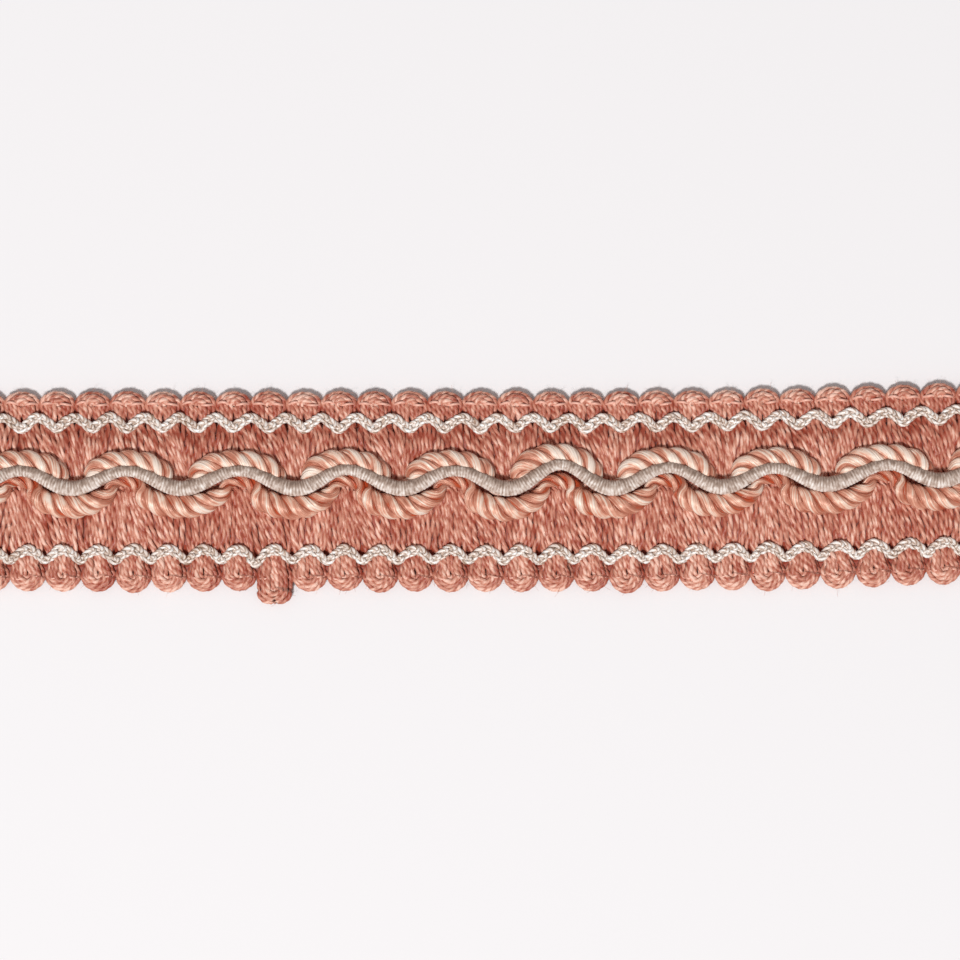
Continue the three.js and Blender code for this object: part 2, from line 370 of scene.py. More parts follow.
# Ivory edge cord: bright filament thread, looped into a fine chain
ivoryThread = yarnMaterial(
    "ivory_filament_chain_thread",
    {
        "colours": [(0.0, "A2816A"), (0.35, "D5BDAD"), (0.65, "F4E6DD"), (1.0, "FFFDFA")],
        "fibreScale": (5.0, 5.0, 1.2),
        "fibreShade": 1.0,
        "cloudScale": 0.9,
        "cloudShade": 1.2,
        "bumpStrength": 0.3,
        "bumpDepth": 0.03,
        "surface": {"Roughness": 0.32, "IOR": 1.54, "Anisotropic": 0.4, "Specular IOR Level": 0.7},
    },
)

# Beige wrapped cord: fine silky thread wound closely round a core
beigeThread = yarnMaterial(
    "beige_wound_silky_thread",
    {
        "colours": [(0.0, "8C7364"), (0.4, "B2998A"), (0.7, "D7C4B8"), (1.0, "F5EBE4")],
        "fibreScale": (1.5, 1.5, 3.6),
        "fibreShade": 1.5,
        "cloudScale": 1.3,
        "cloudShade": 1.0,
        "bumpStrength": 0.7,
        "bumpDepth": 0.12,
        "surface": {"Roughness": 0.45, "IOR": 1.53, "Sheen Weight": 0.1},
    },
)

# Binding thread over the knobs: fine peach sewing thread
peachThread = yarnMaterial(
    "peach_twisted_sewing_thread",
    {
        "colours": [(0.0, "CE7A62"), (0.5, "F4B29C"), (1.0, "FFDCCD")],
        "fibreScale": (12.0, 12.0, 3.0),
        "fibreShade": 0.4,
        "cloudScale": 0.5,
        "cloudShade": 0.2,
        "bumpStrength": 0.4,
        "bumpDepth": 0.02,
        "surface": {"Roughness": 0.4, "IOR": 1.53},
    },
)

# The ground's yarns. Each crosses the strip, turns round a far knob, comes back and turns round the near
# knob. Four lie inside each other in a knob, and lists by yarn give the innermost first. A pair of places
# is where something begins and where it is complete, outwards from the middle line or the place named.
ground = {
    "perLeg": 4,
    "turnPlace": 10.4,  # how far out the knobs' turns lie
    "leftKnobs": 14,  # knobs in the left one of the two front pieces
    "height": {
        "bed": 1.15,
        "field": [1.62, 1.7, 1.74, 1.76],
        "fieldDip": 0.1,  # beside the bed
        "tuft": [1.1, 1.24, 1.34, 1.4],
        "tuftDip": {1: 0.2, -1: 0},
        "groove": 0.84,
        "back": 0.28,
    },
    # the bed under the satin cords: how far out it reaches, how far its edge swings with their waves, and
    # where the yarns rise from it, measured from its edge
    "bed": {"edge": {1: 3.3, -1: 1.7}, "swing": {1: 1.8, -1: -1.9}, "slope": [-1.3, 0.3]},
    # places of the field's end, the tuft, the groove and the knob, outwards from the edge cord
    "cordMarks": [-2.6, -0.95, -0.1, 0.95],
    # how far yarns are drawn along towards a satin cord's turn, and the places across where they aren't,
    # are drawn most one way, most the other way, and again aren't
    "gather": {"along": 1.15, "across": [-7.0, -0.3, 1.9, 7.6]},
    # places outwards from the edge cord where yarns part
    "slit": {"place": 0.95, "wide": 0.75},
    "pinhole": {"place": -0.8, "wide": 0.8},
    # how yarns wander aside slowly and quickly, and up and down, each with its length. The ground's uneven
    # waves make them drift too, from a first angle on. Drift, and then all drawing aside, is lost outwards.
    "wander": {
        "slow": 0.06,
        "slowLength": 1.7,
        "quick": 0.04,
        "quickLength": 0.8,
        "drift": 0.22,
        "driftStart": 1.7,
        "driftLost": [6.5, 8.5],
        "drawLost": [9.7, 10.3],
        "sunk": 0.07,
        "rise": 0.06,
        "riseLength": 1.3,
        "riseDrift": 0.12,
        "riseDriftStart": 3.4,
    },
    # waves over the whole ground: strength, length along, length across and first angle
    "unevenWaves": [(0.45, 3.1, 17, 0.0), (0.35, 1.83, -13, 1.9), (0.3, 5.3, 6.1, 4.1)],
    "twist": {"lead": 3.4, "uneven": 0.15, "closerInKnobs": 1.7},
    "neck": {"from": [8.1, 9.0], "lost": [9.2, 10.4]},
    "dimple": [8.9, 10.0],
    "tipUneven": 0.04,
    "pulledKnob": {"number": 8, "longer": 1.5, "rounder": 1.2},
    # the plies on the knobs, from this far outside the edge cord: how much rounder the yarn is, and how far
    # its painted relief shading comes to the given one
    "loose": {"from": [0.2, 1.2], "rounder": 0.45, "reliefShading": 0.6, "reliefShare": 0.2},
    # tones: how uneven at random, where the legs' painted shading begins outside the edge cord, where the
    # caps' painted light begins, and the painted shade inside the edge cord, with its least share at a knob's
    # middle
    "tone": {
        "uneven": 0.18,
        "legFrom": [0.3, 0.8],
        "capFrom": [10.4, 10.9],
        "shadeInside": {"place": -1.5, "wide": 0.9, "least": 0.35},
    },
}

# The knobs of each row, by side. Lists give the innermost yarn first. The last five values are painted light
# and shade on the ground: shade inside the edge cord, light or shade by sign on the legs, light on the caps,
# shade towards a knob's right, and shade towards its notches.
knobRows = {
    1: {
        "tip": [10.86, 11.28, 11.7, 12.08],
        "from": [10.55, 10.7, 10.82, 10.92],
        "tipHeight": [1.42, 1.72, 1.52, 1.0],
        "legHeight": [1.36, 1.48, 1.38, 1.0],
        "roundness": 1.8,
        "uneven": 0.05,
        "neck": 0.15,  # how much narrower a knob is at its root
        "dimple": 0.0,  # how far its yarns stand apart in the middle
        "slit": 0.26,
        "pinhole": 0.12,
        "paintedShadeInside": -0.2,
        "paintedShadingLegs": -0.05,
        "paintedLightCaps": 0.16,
        "paintedShadingAlong": -0.05,
        "paintedShadeSides": -0.2,
    },
    -1: {
        "tip": [10.78, 11.26, 11.78, 12.26],
        "from": [10.3, 10.36, 10.44, 10.52],
        "tipHeight": [1.3, 1.66, 1.45, 0.92],
        "legHeight": [1.5, 1.78, 1.66, 1.02],
        "roundness": 1.85,
        "uneven": 0.09,
        "neck": 0.2,
        "dimple": 0.13,
        "slit": 0.0,
        "pinhole": 0.34,
        "paintedShadeInside": -0.05,
        "paintedShadingLegs": 0.1,
        "paintedLightCaps": 0.15,
        "paintedShadingAlong": -0.12,
        "paintedShadeSides": -0.3,
    },
}

# Outlines of a yarn, for a radius of 1: its two plies with a furrow on each side, and a plain one
plyOutline = np.array(
    [[1, 0], [0.74, 0.64], [0, 0.6], [-0.74, 0.64], [-1, 0], [-0.74, -0.64], [0, -0.6], [0.74, -0.64]]
)
plainOutline = ringOutline(6)

# The relief shading at the corners of the two plies: painted shade in the furrows, and painted light this
# much higher on the plies
plies = {"furrowShade": 0.2, "ridgeLight": 0.52}
plyShading = plies["furrowShade"] + plies["ridgeLight"] * np.array([1, 0.85, 0, 0.85, 1, 0.85, 0, 0.85])


def column(values):
    return np.asarray(values, float)[:, None]


# 0 for the innermost yarn of a knob and 1 for the outermost
def outwardShare(which):
    return which / (ground["perLeg"] - 1)


def wavePhase(x):
    return np.interp(x, wavePlaces("nearTurn", "farTurn"), np.pi * np.arange(2 * len(waves)))


# A yarn's height at each place across, by which yarn of the knob it is: high beside the satin cords, down
# to the edge cord that binds it, and up again over the knob
def yarnHeight(x, y, which, side):
    high, bed = ground["height"], ground["bed"]
    out = side * y
    cord = side * edgeCordY(x, side)
    bedEdge = bed["edge"][side] + bed["swing"][side] * np.cos(wavePhase(x))
    marks = [bedEdge + place for place in bed["slope"]]
    marks += [cord + place for place in ground["cordMarks"]]
    field = np.array(high["field"])[which]
    tuft = np.array(high["tuft"])[which] - high["tuftDip"][side]
    leg = np.array(knobRows[side]["legHeight"])[which]
    heights = [high["bed"] + 0 * out, field - high["fieldDip"], field, tuft]
    heights += [high["groove"] + 0 * out, leg]
    return easeThrough(out, marks, heights)


# Small uneven waves over the whole ground, as a number from about -1 to 1
def unevenness(x, y, start):
    total = 0 * x
    for strength, along, across, angle in ground["unevenWaves"]:
        total = total + strength * np.sin(2 * np.pi * (x / along + y / across) + (start + angle))
    return total


# How far a yarn is drawn along the strip: gathered towards the satin cords' turns, and parted at the
# slits and pinholes on both sides of the edge cords
def yarnDraw(x, y, which, leg, wander):
    gather, slit, pinhole = ground["gather"], ground["slit"], ground["pinhole"]
    drawn = gather["along"] * np.interp(y, gather["across"], [0, -1, 1, 0])
    drawn = drawn * np.sin(wavePhase(x)) + wander
    share = outwardShare(which)
    for side, knobRow in knobRows.items():
        past = pastCord(x, y, side)
        atSlit = hump(past, slit["place"], slit["wide"]) * (1 - share)
        atPinhole = hump(past, pinhole["place"], pinhole["wide"]) * share**2
        drawn = drawn + leg * (knobRow["slit"] * atSlit - knobRow["pinhole"] * atPinhole)
    return drawn


# For every yarn: which one of its knob it is, whether that knob is the pulled one, and by side its knob's
# middle, how far it stands from there, and how far out its turn round the knob begins
def placeYarns():
    knobs = np.repeat(np.arange(strip["knobCount"]), ground["perLeg"])
    which = np.tile(np.arange(ground["perLeg"]), strip["knobCount"])
    farMiddle = (knobs + 0.5) * strip["knobPitch"] - halfLength
    farReach = (which + 0.5) * strip["knobPitch"] / (2 * ground["perLeg"])
    farEnds = [farMiddle + leg * farReach for leg in (1, -1)]
    nearEnds = [end + rowShift(end) for end in farEnds]
    pulled = column(knobs == ground["pulledKnob"]["number"])
    longer = {1: 0, -1: pulled * ground["pulledKnob"]["longer"]}
    return {
        "which": which,
        "pulled": pulled,
        "middle": {1: column(farMiddle), -1: column(nearEnds[0] + nearEnds[1]) / 2},
        "reach": {1: column(farReach), -1: column(nearEnds[0] - nearEnds[1]) / 2},
        "from": {side: column(np.array(knobRows[side]["from"])[which]) + longer[side] for side in (1, -1)},
    }


yarns = placeYarns()


# How far a yarn stands from its knob's middle. towards is 0 at the near row and 1 at the far row.
def reachAt(side, towards, out):
    reach, neck = yarns["reach"], ground["neck"]
    even = reach[-1] + (reach[1] - reach[-1]) * towards
    narrower = np.where(side > 0, knobRows[1]["neck"], knobRows[-1]["neck"])
    narrower = narrower * ease(out, *neck["from"]) * (1 - ease(out, *neck["lost"]))
    apart = np.where(side > 0, knobRows[1]["dimple"], knobRows[-1]["dimple"] * (1 - yarns["pulled"]))
    inner = column(1 - outwardShare(yarns["which"]))
    return even * (1 - narrower) + apart * inner * ease(out, *ground["dimple"])


# The yarns' long stretches between the rows of knobs, to the far row for leg 1 and back for leg -1
def makeLegs(layer, leg, tilt):
    middle, turnFrom, wander = yarns["middle"], yarns["from"], ground["wander"]
    ends = (0, 1) if leg > 0 else (1, 0)
    y = -turnFrom[-1] + (turnFrom[1] + turnFrom[-1]) * np.linspace(*ends, layer["legSteps"])[None]
    towards = (y + ground["turnPlace"]) / (2 * ground["turnPlace"])
    out = np.abs(y)
    side = np.where(y > 0, 1, -1)
    x = middle[-1] + (middle[1] - middle[-1]) * towards + leg * reachAt(side, towards, out)
    aside = wander["slow"] * np.sin(y / wander["slowLength"] + anyTurn * tilt[0] + leg)
    aside = aside + wander["quick"] * np.sin(y / wander["quickLength"] + anyTurn * tilt[1]) * leg
    drift = wander["drift"] * unevenness(x, y, wander["driftStart"])
    aside = aside + drift * (1 - ease(out, *wander["driftLost"]))
    which = np.broadcast_to(yarns["which"][:, None], y.shape)
    x = x + yarnDraw(x, y, which, leg, aside) * (1 - ease(out, *wander["drawLost"]))
    z = np.full_like(y, ground["height"]["back"])
    if layer["crowned"]:
        z = np.where(side > 0, yarnHeight(x, y, which, 1), yarnHeight(x, y, which, -1))
        rise = wander["rise"] * np.sin(y / wander["riseLength"] + anyTurn * tilt[3] * leg)
        z = z + (wander["sunk"] * tilt[2] * leg + rise)
        z = z + wander["riseDrift"] * unevenness(x, y, wander["riseDriftStart"])
    return np.stack([x, y, z], axis=-1)


# The yarns' turns round the knobs, from the end of each leg to the start of the other
def makeTurns(layer, leg, legs, uneven):
    knobRow, which, turnFrom = knobRows[leg], yarns["which"], yarns["from"][leg]
    rounder = ground["pulledKnob"]["rounder"] * yarns["pulled"] if leg < 0 else 0
    roundness = knobRow["roundness"] + rounder
    around = np.linspace(0, np.pi, layer["capSteps"] + 2)[None, 1:-1]
    sideways = np.sign(np.cos(around)) * np.abs(np.cos(around)) ** (2 / roundness)
    outwards = np.abs(np.sin(around)) ** (2 / roundness)
    tip = column(np.array(knobRow["tip"])[which] - np.array(knobRow["from"])[which]) * (1 + uneven)
    x = yarns["middle"][leg] + leg * reachAt(leg, max(0, leg), turnFrom) * sideways
    y = leg * (turnFrom + (tip - layer["tuck"]) * outwards)
    zLeg = legs[leg][:, -1:, 2]
    zEven = zLeg + (legs[-leg][:, :1, 2] - zLeg) * around / np.pi
    zTip = column(np.array(knobRow["tipHeight"])[which]) if layer["crowned"] else zEven
    z = zEven + (zTip - zEven) * outwards
    return np.stack(np.broadcast_arrays(x, y, z), axis=-1)


# The angle of each yarn's twist along its ring, with whole turns in all and closer ones in the knobs
def ringTwist(middles, loose, tilt):
    twist = ground["twist"]
    reach = np.linalg.norm(np.roll(middles, -1, axis=1) - middles, axis=-1)
    reach = reach * (1 + (twist["closerInKnobs"] - 1) * loose)
    run = np.cumsum(reach, axis=1) - reach
    length = run[:, -1:] + reach[:, -1:]
    turns = np.round(length / (twist["lead"] * (1 + twist["uneven"] * tilt[6])))
    return -2 * np.pi * turns * run / length + anyTurn * tilt[0]


# One closed ring for each yarn of a layer, as all that layTubes needs to lay it
def makeYarnRings(layer):
    rows = len(yarns["which"])
    tilt = chance.uniform(-1, 1, (7, rows, 1))
    knobTilt = np.repeat(chance.uniform(-1, 1, (2, strip["knobCount"], 1)), ground["perLeg"], axis=1)
    legs = {leg: makeLegs(layer, leg, tilt) for leg in (1, -1)}
    parts = []
    for row, leg in enumerate((1, -1)):
        uneven = ground["tipUneven"] * tilt[4 + row] + knobRows[leg]["uneven"] * knobTilt[row]
        parts += [legs[leg], makeTurns(layer, leg, legs, uneven)]
    middles = np.concatenate(parts, axis=1)
    x, y = middles[..., 0], middles[..., 1].copy()
    middles[..., 1] += bend(x)
    loose = inKnob(x, y)
    toneUneven = ground["tone"]["uneven"]
    # a random tone for each yarn, with the ground's painted light and shade added
    tones = chance.uniform(-toneUneven, toneUneven, (rows, 1)) + groundPaintedShading(x, y)
    outline = layer["outline"]
    section = outline + ground["loose"]["rounder"] * loose[..., None, None] * (unit(outline) - outline)
    section = turnedOutline(section, ringTwist(middles, loose, tilt)) * layer["radius"]
    evened = ground["loose"]["reliefShare"] * loose[..., None]
    reliefShading = layer["reliefShading"] + evened * (ground["loose"]["reliefShading"] - layer["reliefShading"])
    return middles, upwards(middles), section, reliefShading, tones


# From 0 inside the edge cords to 1 on the knobs, where the plies lie looser and show less
def inKnob(x, y):
    past = np.where(y > 0, pastCord(x, y, 1), pastCord(x, y, -1))
    return ease(past, *ground["loose"]["from"])


# Painted light and shade on the ground: shade where it goes down to the edge cords, light on the knobs' caps,
# shade on the far legs and light on the near ones, and shade towards each knob's right and its notches
def groundPaintedShading(x, y):
    tones = ground["tone"]
    shadeInside = tones["shadeInside"]
    total = 0 * x
    for side, knobRow in knobRows.items():
        past = pastCord(x, y, side)
        notch = notchAt(x, side)
        onLeg = ease(past, *tones["legFrom"])
        onCap = ease(side * y, *tones["capFrom"])
        shadeShare = shadeInside["least"] + (1 - shadeInside["least"]) * notch
        total = total + knobRow["paintedShadeInside"] * shadeShare * hump(past, shadeInside["place"], shadeInside["wide"])
        total = total + knobRow["paintedShadingLegs"] * onLeg * (1 - onCap)
        total = total + knobRow["paintedLightCaps"] * onCap
        total = total + knobRow["paintedShadingAlong"] * placeInKnob(x, side) * onLeg
        total = total + knobRow["paintedShadeSides"] * notch**2 * onLeg
    return total


# A yarn's outline, turned by its twist at each step
def turnedOutline(outline, twist):
    turned = [
        outline[..., 0] * np.cos(twist)[..., None] - outline[..., 1] * np.sin(twist)[..., None],
        outline[..., 0] * np.sin(twist)[..., None] + outline[..., 1] * np.cos(twist)[..., None],
    ]
    return np.stack(turned, axis=-1)


def layYarns(name, rings):
    piece = layTubes(name, *rings, closed=True)
    finish(piece, "ground", coralYarn)


# The two layers of yarns: the crowned ones that show, and flat ones on the back
frontYarns = {
    "radius": 0.355,
    "legSteps": 72,
    "capSteps": 16,
    "crowned": True,
    "tuck": 0,
    "outline": plyOutline,
    "reliefShading": plyShading,
}
backYarns = {
    "radius": 0.27,
    "legSteps": 24,
    "capSteps": 7,
    "crowned": False,
    "tuck": 0.12,  # how far their knobs stay inside the front's
    "outline": plainOutline * [1, 0.8],
    "reliefShading": 0.35,
}

front = makeYarnRings(frontYarns)
split = ground["leftKnobs"] * ground["perLeg"]
layYarns("ground_yarns_left", [values[:split] for values in front])
layYarns("ground_yarns_right", [values[split:] for values in front])
layYarns("ground_yarns_back", makeYarnRings(backYarns))

# Fine fibres that stand off the yarns, most of them round the knobs. Directions are shares along, across
# and up.
strayFibres = {
    "count": 2600,
    "onKnobs": 0.6,  # this share is on the knobs only, and the rest anywhere
    "radius": 0.015,
    "corners": 3,
    "shortest": 0.35,
    "longest": 0.85,
    "steps": 5,
    "spread": [1, 1, 0.5],
    "lean": [0, 0, 0.6],
    "curl": 0.5,
    "curlSpread": [1, 1, 0.4],
    "root": 0.6,  # of the yarn's radius
    "lowest": 0.1,
    "reliefShading": 0.8,
}


def makeStrayFibres(name, middles):
    count, corners = strayFibres["count"], strayFibres["corners"]
    rings = chance.integers(0, len(middles), count)
    onKnobs = chance.random(count) < strayFibres["onKnobs"]
    legSteps, capSteps = frontYarns["legSteps"], frontYarns["capSteps"]
    inCap = legSteps + chance.integers(0, capSteps, count)
    inCap = inCap + (legSteps + capSteps) * chance.integers(0, 2, count)
    places = np.where(onKnobs, inCap, chance.integers(0, middles.shape[1], count))
    roots = middles[rings, places]
    away = unit(chance.normal(size=(count, 3)) * strayFibres["spread"] + strayFibres["lean"])
    turn = unit(chance.normal(size=(count, 3)) * strayFibres["curlSpread"])
    length = chance.uniform(strayFibres["shortest"], strayFibres["longest"], (count, 1, 1))
    share = np.linspace(0, 1, strayFibres["steps"])[None, :, None]
    root = strayFibres["root"] * frontYarns["radius"]
    route = roots[:, None] + away[:, None] * (root + share * length)
    route = route + turn[:, None] * strayFibres["curl"] * length * share**2
    route[..., 2] = np.maximum(route[..., 2], strayFibres["lowest"])
    outs = np.zeros_like(route)
    outs[:] = unit(np.cross(away, turn))[:, None]
    section = ringOutline(corners) * strayFibres["radius"]
    piece = layTubes(name, route, outs, section, strayFibres["reliefShading"])
    finish(piece, "ground", coralYarn)


makeStrayFibres("ground_stray_fibres", front[0])

# The band that the yarns are bound to: its top follows them closely from below, dips at the pinholes and
# stays under the satin cords, and its bottom reaches down to the back yarns. It has no relief shading marks,
# so it takes the dark end of the coral ramp, painted shade where it shows between the yarns.
band = {
    "halfWidth": 11.0,
    "endsInside": 0.25,  # how far its ends stay inside the strip's
    "under": 0.16,
    "thickness": 0.3,
    "highest": 1.55,
    "bottom": 0.35,
    "pinhole": {"place": -0.8, "wide": 0.7, "deep": 0.55},
    "cellsAlong": 300,
    "cellsAcross": 56,
}


def makeBand(name):
    cells = {"x_subdivisions": band["cellsAlong"], "y_subdivisions": band["cellsAcross"]}
    bpy.ops.mesh.primitive_grid_add(size=2, **cells)
    sheet = bpy.context.object
    sheet.name = name
    grid = np.array([vertex.co[:] for vertex in sheet.data.vertices])
    x = grid[:, 0] * (halfLength - band["endsInside"])
    y = grid[:, 1] * band["halfWidth"]
    outermost = np.full(len(grid), ground["perLeg"] - 1)
    top = np.where(y > 0, yarnHeight(x, y, outermost, 1), yarnHeight(x, y, outermost, -1))
    top = np.minimum(top - band["under"], band["highest"])
    pinhole = band["pinhole"]
    for side in (1, -1):
        hole = hump(pastCord(x, y, side), pinhole["place"], pinhole["wide"])
        top = top - pinhole["deep"] * notchAt(x, side) ** 3 * hole
    placed = np.stack([x, y + bend(x) + middleLine, top], axis=-1) * mm
    sheet.data.vertices.foreach_set("co", placed.astype(np.float32).ravel())
    thicken = sheet.modifiers.new("thickness", "SOLIDIFY")
    thicken.thickness = band["thickness"] * mm
    thicken.offset = -1
    bpy.ops.object.modifier_apply(modifier="thickness")
    for vertex in sheet.data.vertices[len(grid) :]:
        vertex.co.z = band["bottom"] * mm
    finish(sheet, "ground", coralYarn)


makeBand("ground_band")

# The fine thread that crosses each row of knobs near their tips
bindingThread = {
    "radius": {1: 0.17, -1: 0.12},
    "row": {1: 10.72, -1: -10.62},
    "high": {1: 2.06, -1: 1.9},
    "slit": 0.95,  # its height in a knob's slit
    "notch": 0.6,  # its height between two knobs
    "steepness": 1.3,
    "aside": 0.22,  # how much further out it lies on a knob's left leg
    "wander": 0.1,
    "wanderTurn": 1.9,  # radians for each millimetre
    "reliefShading": 0.6,
    "stepsPerKnob": 28,
}


def makeBindingThread(name, side):
    x = np.linspace(-halfLength, halfLength, strip["knobCount"] * bindingThread["stepsPerKnob"])
    place = placeInKnob(x, side)
    onLeg = np.abs(np.sin(np.pi * place))
    dip = np.where(np.abs(place) < 0.5, bindingThread["slit"], bindingThread["notch"])
    z = dip + (bindingThread["high"][side] - dip) * onLeg ** bindingThread["steepness"]
    y = bindingThread["row"][side] + side * bindingThread["aside"] * onLeg * (place < 0)
    y = y + bindingThread["wander"] * np.sin(x * bindingThread["wanderTurn"])
    middles = np.stack([x, y + bend(x), z], axis=-1)[None]
    section = plainOutline * bindingThread["radius"][side]
    piece = layTubes(name, middles, upwards(middles), section, bindingThread["reliefShading"])
    finish(piece, "ground", peachThread)


makeBindingThread("binding_thread_far", 1)
makeBindingThread("binding_thread_near", -1)

# Ivory edge cords: a chain of small loops that waves over the knobs' roots. Each loop's front end lies
# over the back end of the next.
edgeCord = {
    "height": 1.73,
    "dip": {"place": -27.9, "wide": 0.9, "deep": {1: 0, -1: 0.45}},  # one place where a cord sags
    "routeStep": 0.05,
    "routeStepsPerKnob": 40,
    "loopSpacing": 1.12,
    "loopLength": 1.72,
    "loopWidth": {1: 0.72, -1: 0.6},
    "crestWider": {1: 0.08, -1: 0.3},
    "stepsPerLoop": 34,
    "tilt": 0.22,
    "strandRadius": 0.26,
    "strandDeeper": 1.3,
    "twistHalfTurns": 6,
    "reliefContrast": 1.3,
    "reliefLower": 0.2,
    "uneven": {"length": 0.08, "width": 0.05, "place": 0.07, "height": 0.08, "tone": 0.12},
    # the core's low relief shading is painted shade, where it shows between the loops
    "core": {"radius": 0.26, "lower": 0.12, "reliefShading": 0.3, "everyStep": 3},
}


# A route's values at given lengths along it
def valuesAt(lengths, run, values):
    return np.stack([np.interp(lengths, run, part) for part in values.T], axis=-1)


# Even steps along a route given by many points, as points, sideways directions and lengths
def evenSteps(route, spacing):
    reach = np.linalg.norm(np.diff(route[:, :3], axis=0), axis=-1)
    run = np.concatenate([[0], np.cumsum(reach)])
    steps = np.linspace(0, run[-1], int(run[-1] / spacing) + 1)
    points = valuesAt(steps, run, route)
    travel = unit(np.gradient(points[:, :3], axis=0))
    sideways = np.stack([-travel[:, 1], travel[:, 0], 0 * travel[:, 0]], axis=-1)
    return points, unit(sideways), steps


def edgeCordRoute(side):
    dip = edgeCord["dip"]
    x = np.linspace(-halfLength, halfLength, strip["knobCount"] * edgeCord["routeStepsPerKnob"])
    y = edgeCordY(x, side) - dip["deep"][side] * hump(x, dip["place"], dip["wide"])
    route = np.stack([x, y + bend(x), np.full_like(x, edgeCord["height"])], axis=-1)
    return evenSteps(route, edgeCord["routeStep"])


def makeEdgeCord(name, node, side):
    points, sideways, run = edgeCordRoute(side)
    uneven = edgeCord["uneven"]
    reach = edgeCord["loopLength"] / 2
    count = int((run[-1] - 2 * reach) / edgeCord["loopSpacing"]) + 1
    loops = np.linspace(reach, run[-1] - reach, count)[:, None]
    draws = chance.uniform(-1, 1, (5, count, 1))
    around = 2 * np.pi * np.arange(edgeCord["stepsPerLoop"])[None, :] / edgeCord["stepsPerLoop"]
    lengths = loops + reach * (1 + uneven["length"] * draws[0]) * np.cos(around)
    crest = 1 - notchAt(np.interp(loops, run, points[:, 0]), side)
    wide = edgeCord["loopWidth"][side] + edgeCord["crestWider"][side] * crest
    across = (wide / 2 + uneven["width"] * draws[1]) * np.sin(around) + uneven["place"] * draws[2]
    lift = edgeCord["tilt"] * np.cos(around)
    lift = lift + uneven["height"] * draws[3] * np.sin(around + anyTurn * draws[4])
    middles = valuesAt(lengths, run, points) + valuesAt(lengths, run, sideways) * across[..., None]
    middles[..., 2] += lift
    twist = edgeCord["twistHalfTurns"] * around / 2 + anyTurn * draws[0]
    strand = turnedOutline(plyOutline * [1, edgeCord["strandDeeper"]], twist) * edgeCord["strandRadius"]
    # painted shade in the strand's furrows and painted light on its plies, with more contrast than the yarns'
    reliefShading = plyShading * edgeCord["reliefContrast"] - edgeCord["reliefLower"]
    tones = chance.uniform(-uneven["tone"], uneven["tone"], (count, 1))
    piece = layTubes(name, middles, upwards(middles), strand, reliefShading, tones, closed=True)
    finish(piece, node, ivoryThread)
    makeEdgeCore(name + "_core", node, points)


# The core that an edge cord's loops are worked over
def makeEdgeCore(name, node, points):
    core = edgeCord["core"]
    middles = points[None, :: core["everyStep"]] - [0, 0, core["lower"]]
    piece = layTubes(name, middles, upwards(middles), plainOutline * core["radius"], core["reliefShading"])
    finish(piece, node, ivoryThread)


makeEdgeCord("edge_cord_far", "far_edge_cord", 1)
makeEdgeCord("edge_cord_near", "near_edge_cord", -1)

# Peach satin cords: three plies twisted together, in wide arches joined by tight turns
satin = {
    "width": 2.48,
    "archWider": {1: 0.6, -1: 0.84},  # flattened a little in the arches
    "height": 2.35,
    "lead": {1: 6.6, -1: 5.7},
    "tone": {1: 0.1, -1: -0.09},
    "level": {1: 1.61, -1: 0.0},
    "archRise": {1: 2.05, -1: 1.93},
    "turnDepth": 1.25,
    "turnReach": 1.92,
    "turnHeight": 0.7,
    "turnWidth": 0.86,
    "stepsPerTurn": 60,
    "pressedFrom": [-0.6, 0.8],  # in depths of a turn from the level, like the next
    "archFrom": [0.2, 1.4],
    "underside": 1.2,
    "taper": {1: 0.08, -1: 0.3},  # how much narrower the arches grow towards their right ends
    "taperGained": [1.5, 2.9],  # along an arch of pi
    "taperLost": [0, 2.8],  # along a turn of pi
    "plies": 3,
    "plyPlace": 0.54,  # of the cord's radius, like the next two
    "plyDeep": 0.47,
    "plyWide": 0.54,
    "step": 0.22,
    "corners": 16,
    "reliefShading": {"side": 0.34, "crownHighlight": 0.46, "highlightPressed": 0.2, "sharpness": 1.7},
}


# A satin cord's middle line, with its height, its width and how far the wrapped cord presses it
def satinRoute(side):
    places = wavePlaces("nearTurn", "farTurn")[1 if side > 0 else 0 :: 2]
    level = satin["level"][side]
    angles = np.linspace(0, np.pi, satin["stepsPerTurn"])
    taperLost = 1 - ease(angles, *satin["taperLost"])
    taperGained = ease(angles, *satin["taperGained"])
    route = []
    for i, place in enumerate(places):
        x = place - satin["turnReach"] * np.cos(angles)
        y = level - side * satin["turnDepth"] * np.sin(angles)
        route.append(np.stack([x, y, taperLost]))
        if i + 1 < len(places):
            reach = (places[i + 1] - place) / 2 - satin["turnReach"]
            further = waves[i + 1]["lift"] if side > 0 else waves[i]["drop"]
            x = (place + places[i + 1]) / 2 - reach * np.cos(angles)
            y = level + side * (satin["archRise"][side] + further) * np.sin(angles)
            route.append(np.stack([x, y, taperGained]))
    flat = np.concatenate(route, axis=1)
    x, y, taper = flat[:, np.abs(flat[0]) <= halfLength]
    away = side * (level - y) / satin["turnDepth"]
    pressed = ease(away, *satin["pressedFrom"])
    high = satin["height"] * (1 - pressed * (1 - satin["turnHeight"]))
    wide = satin["width"] * (1 - pressed * (1 - satin["turnWidth"]))
    wide = wide + satin["archWider"][side] * ease(-away, *satin["archFrom"])
    narrower = wide * satin["taper"][side] * taper
    y = y - side * narrower / 2
    return np.stack([x, y + bend(x), high, wide - narrower, pressed], axis=-1)


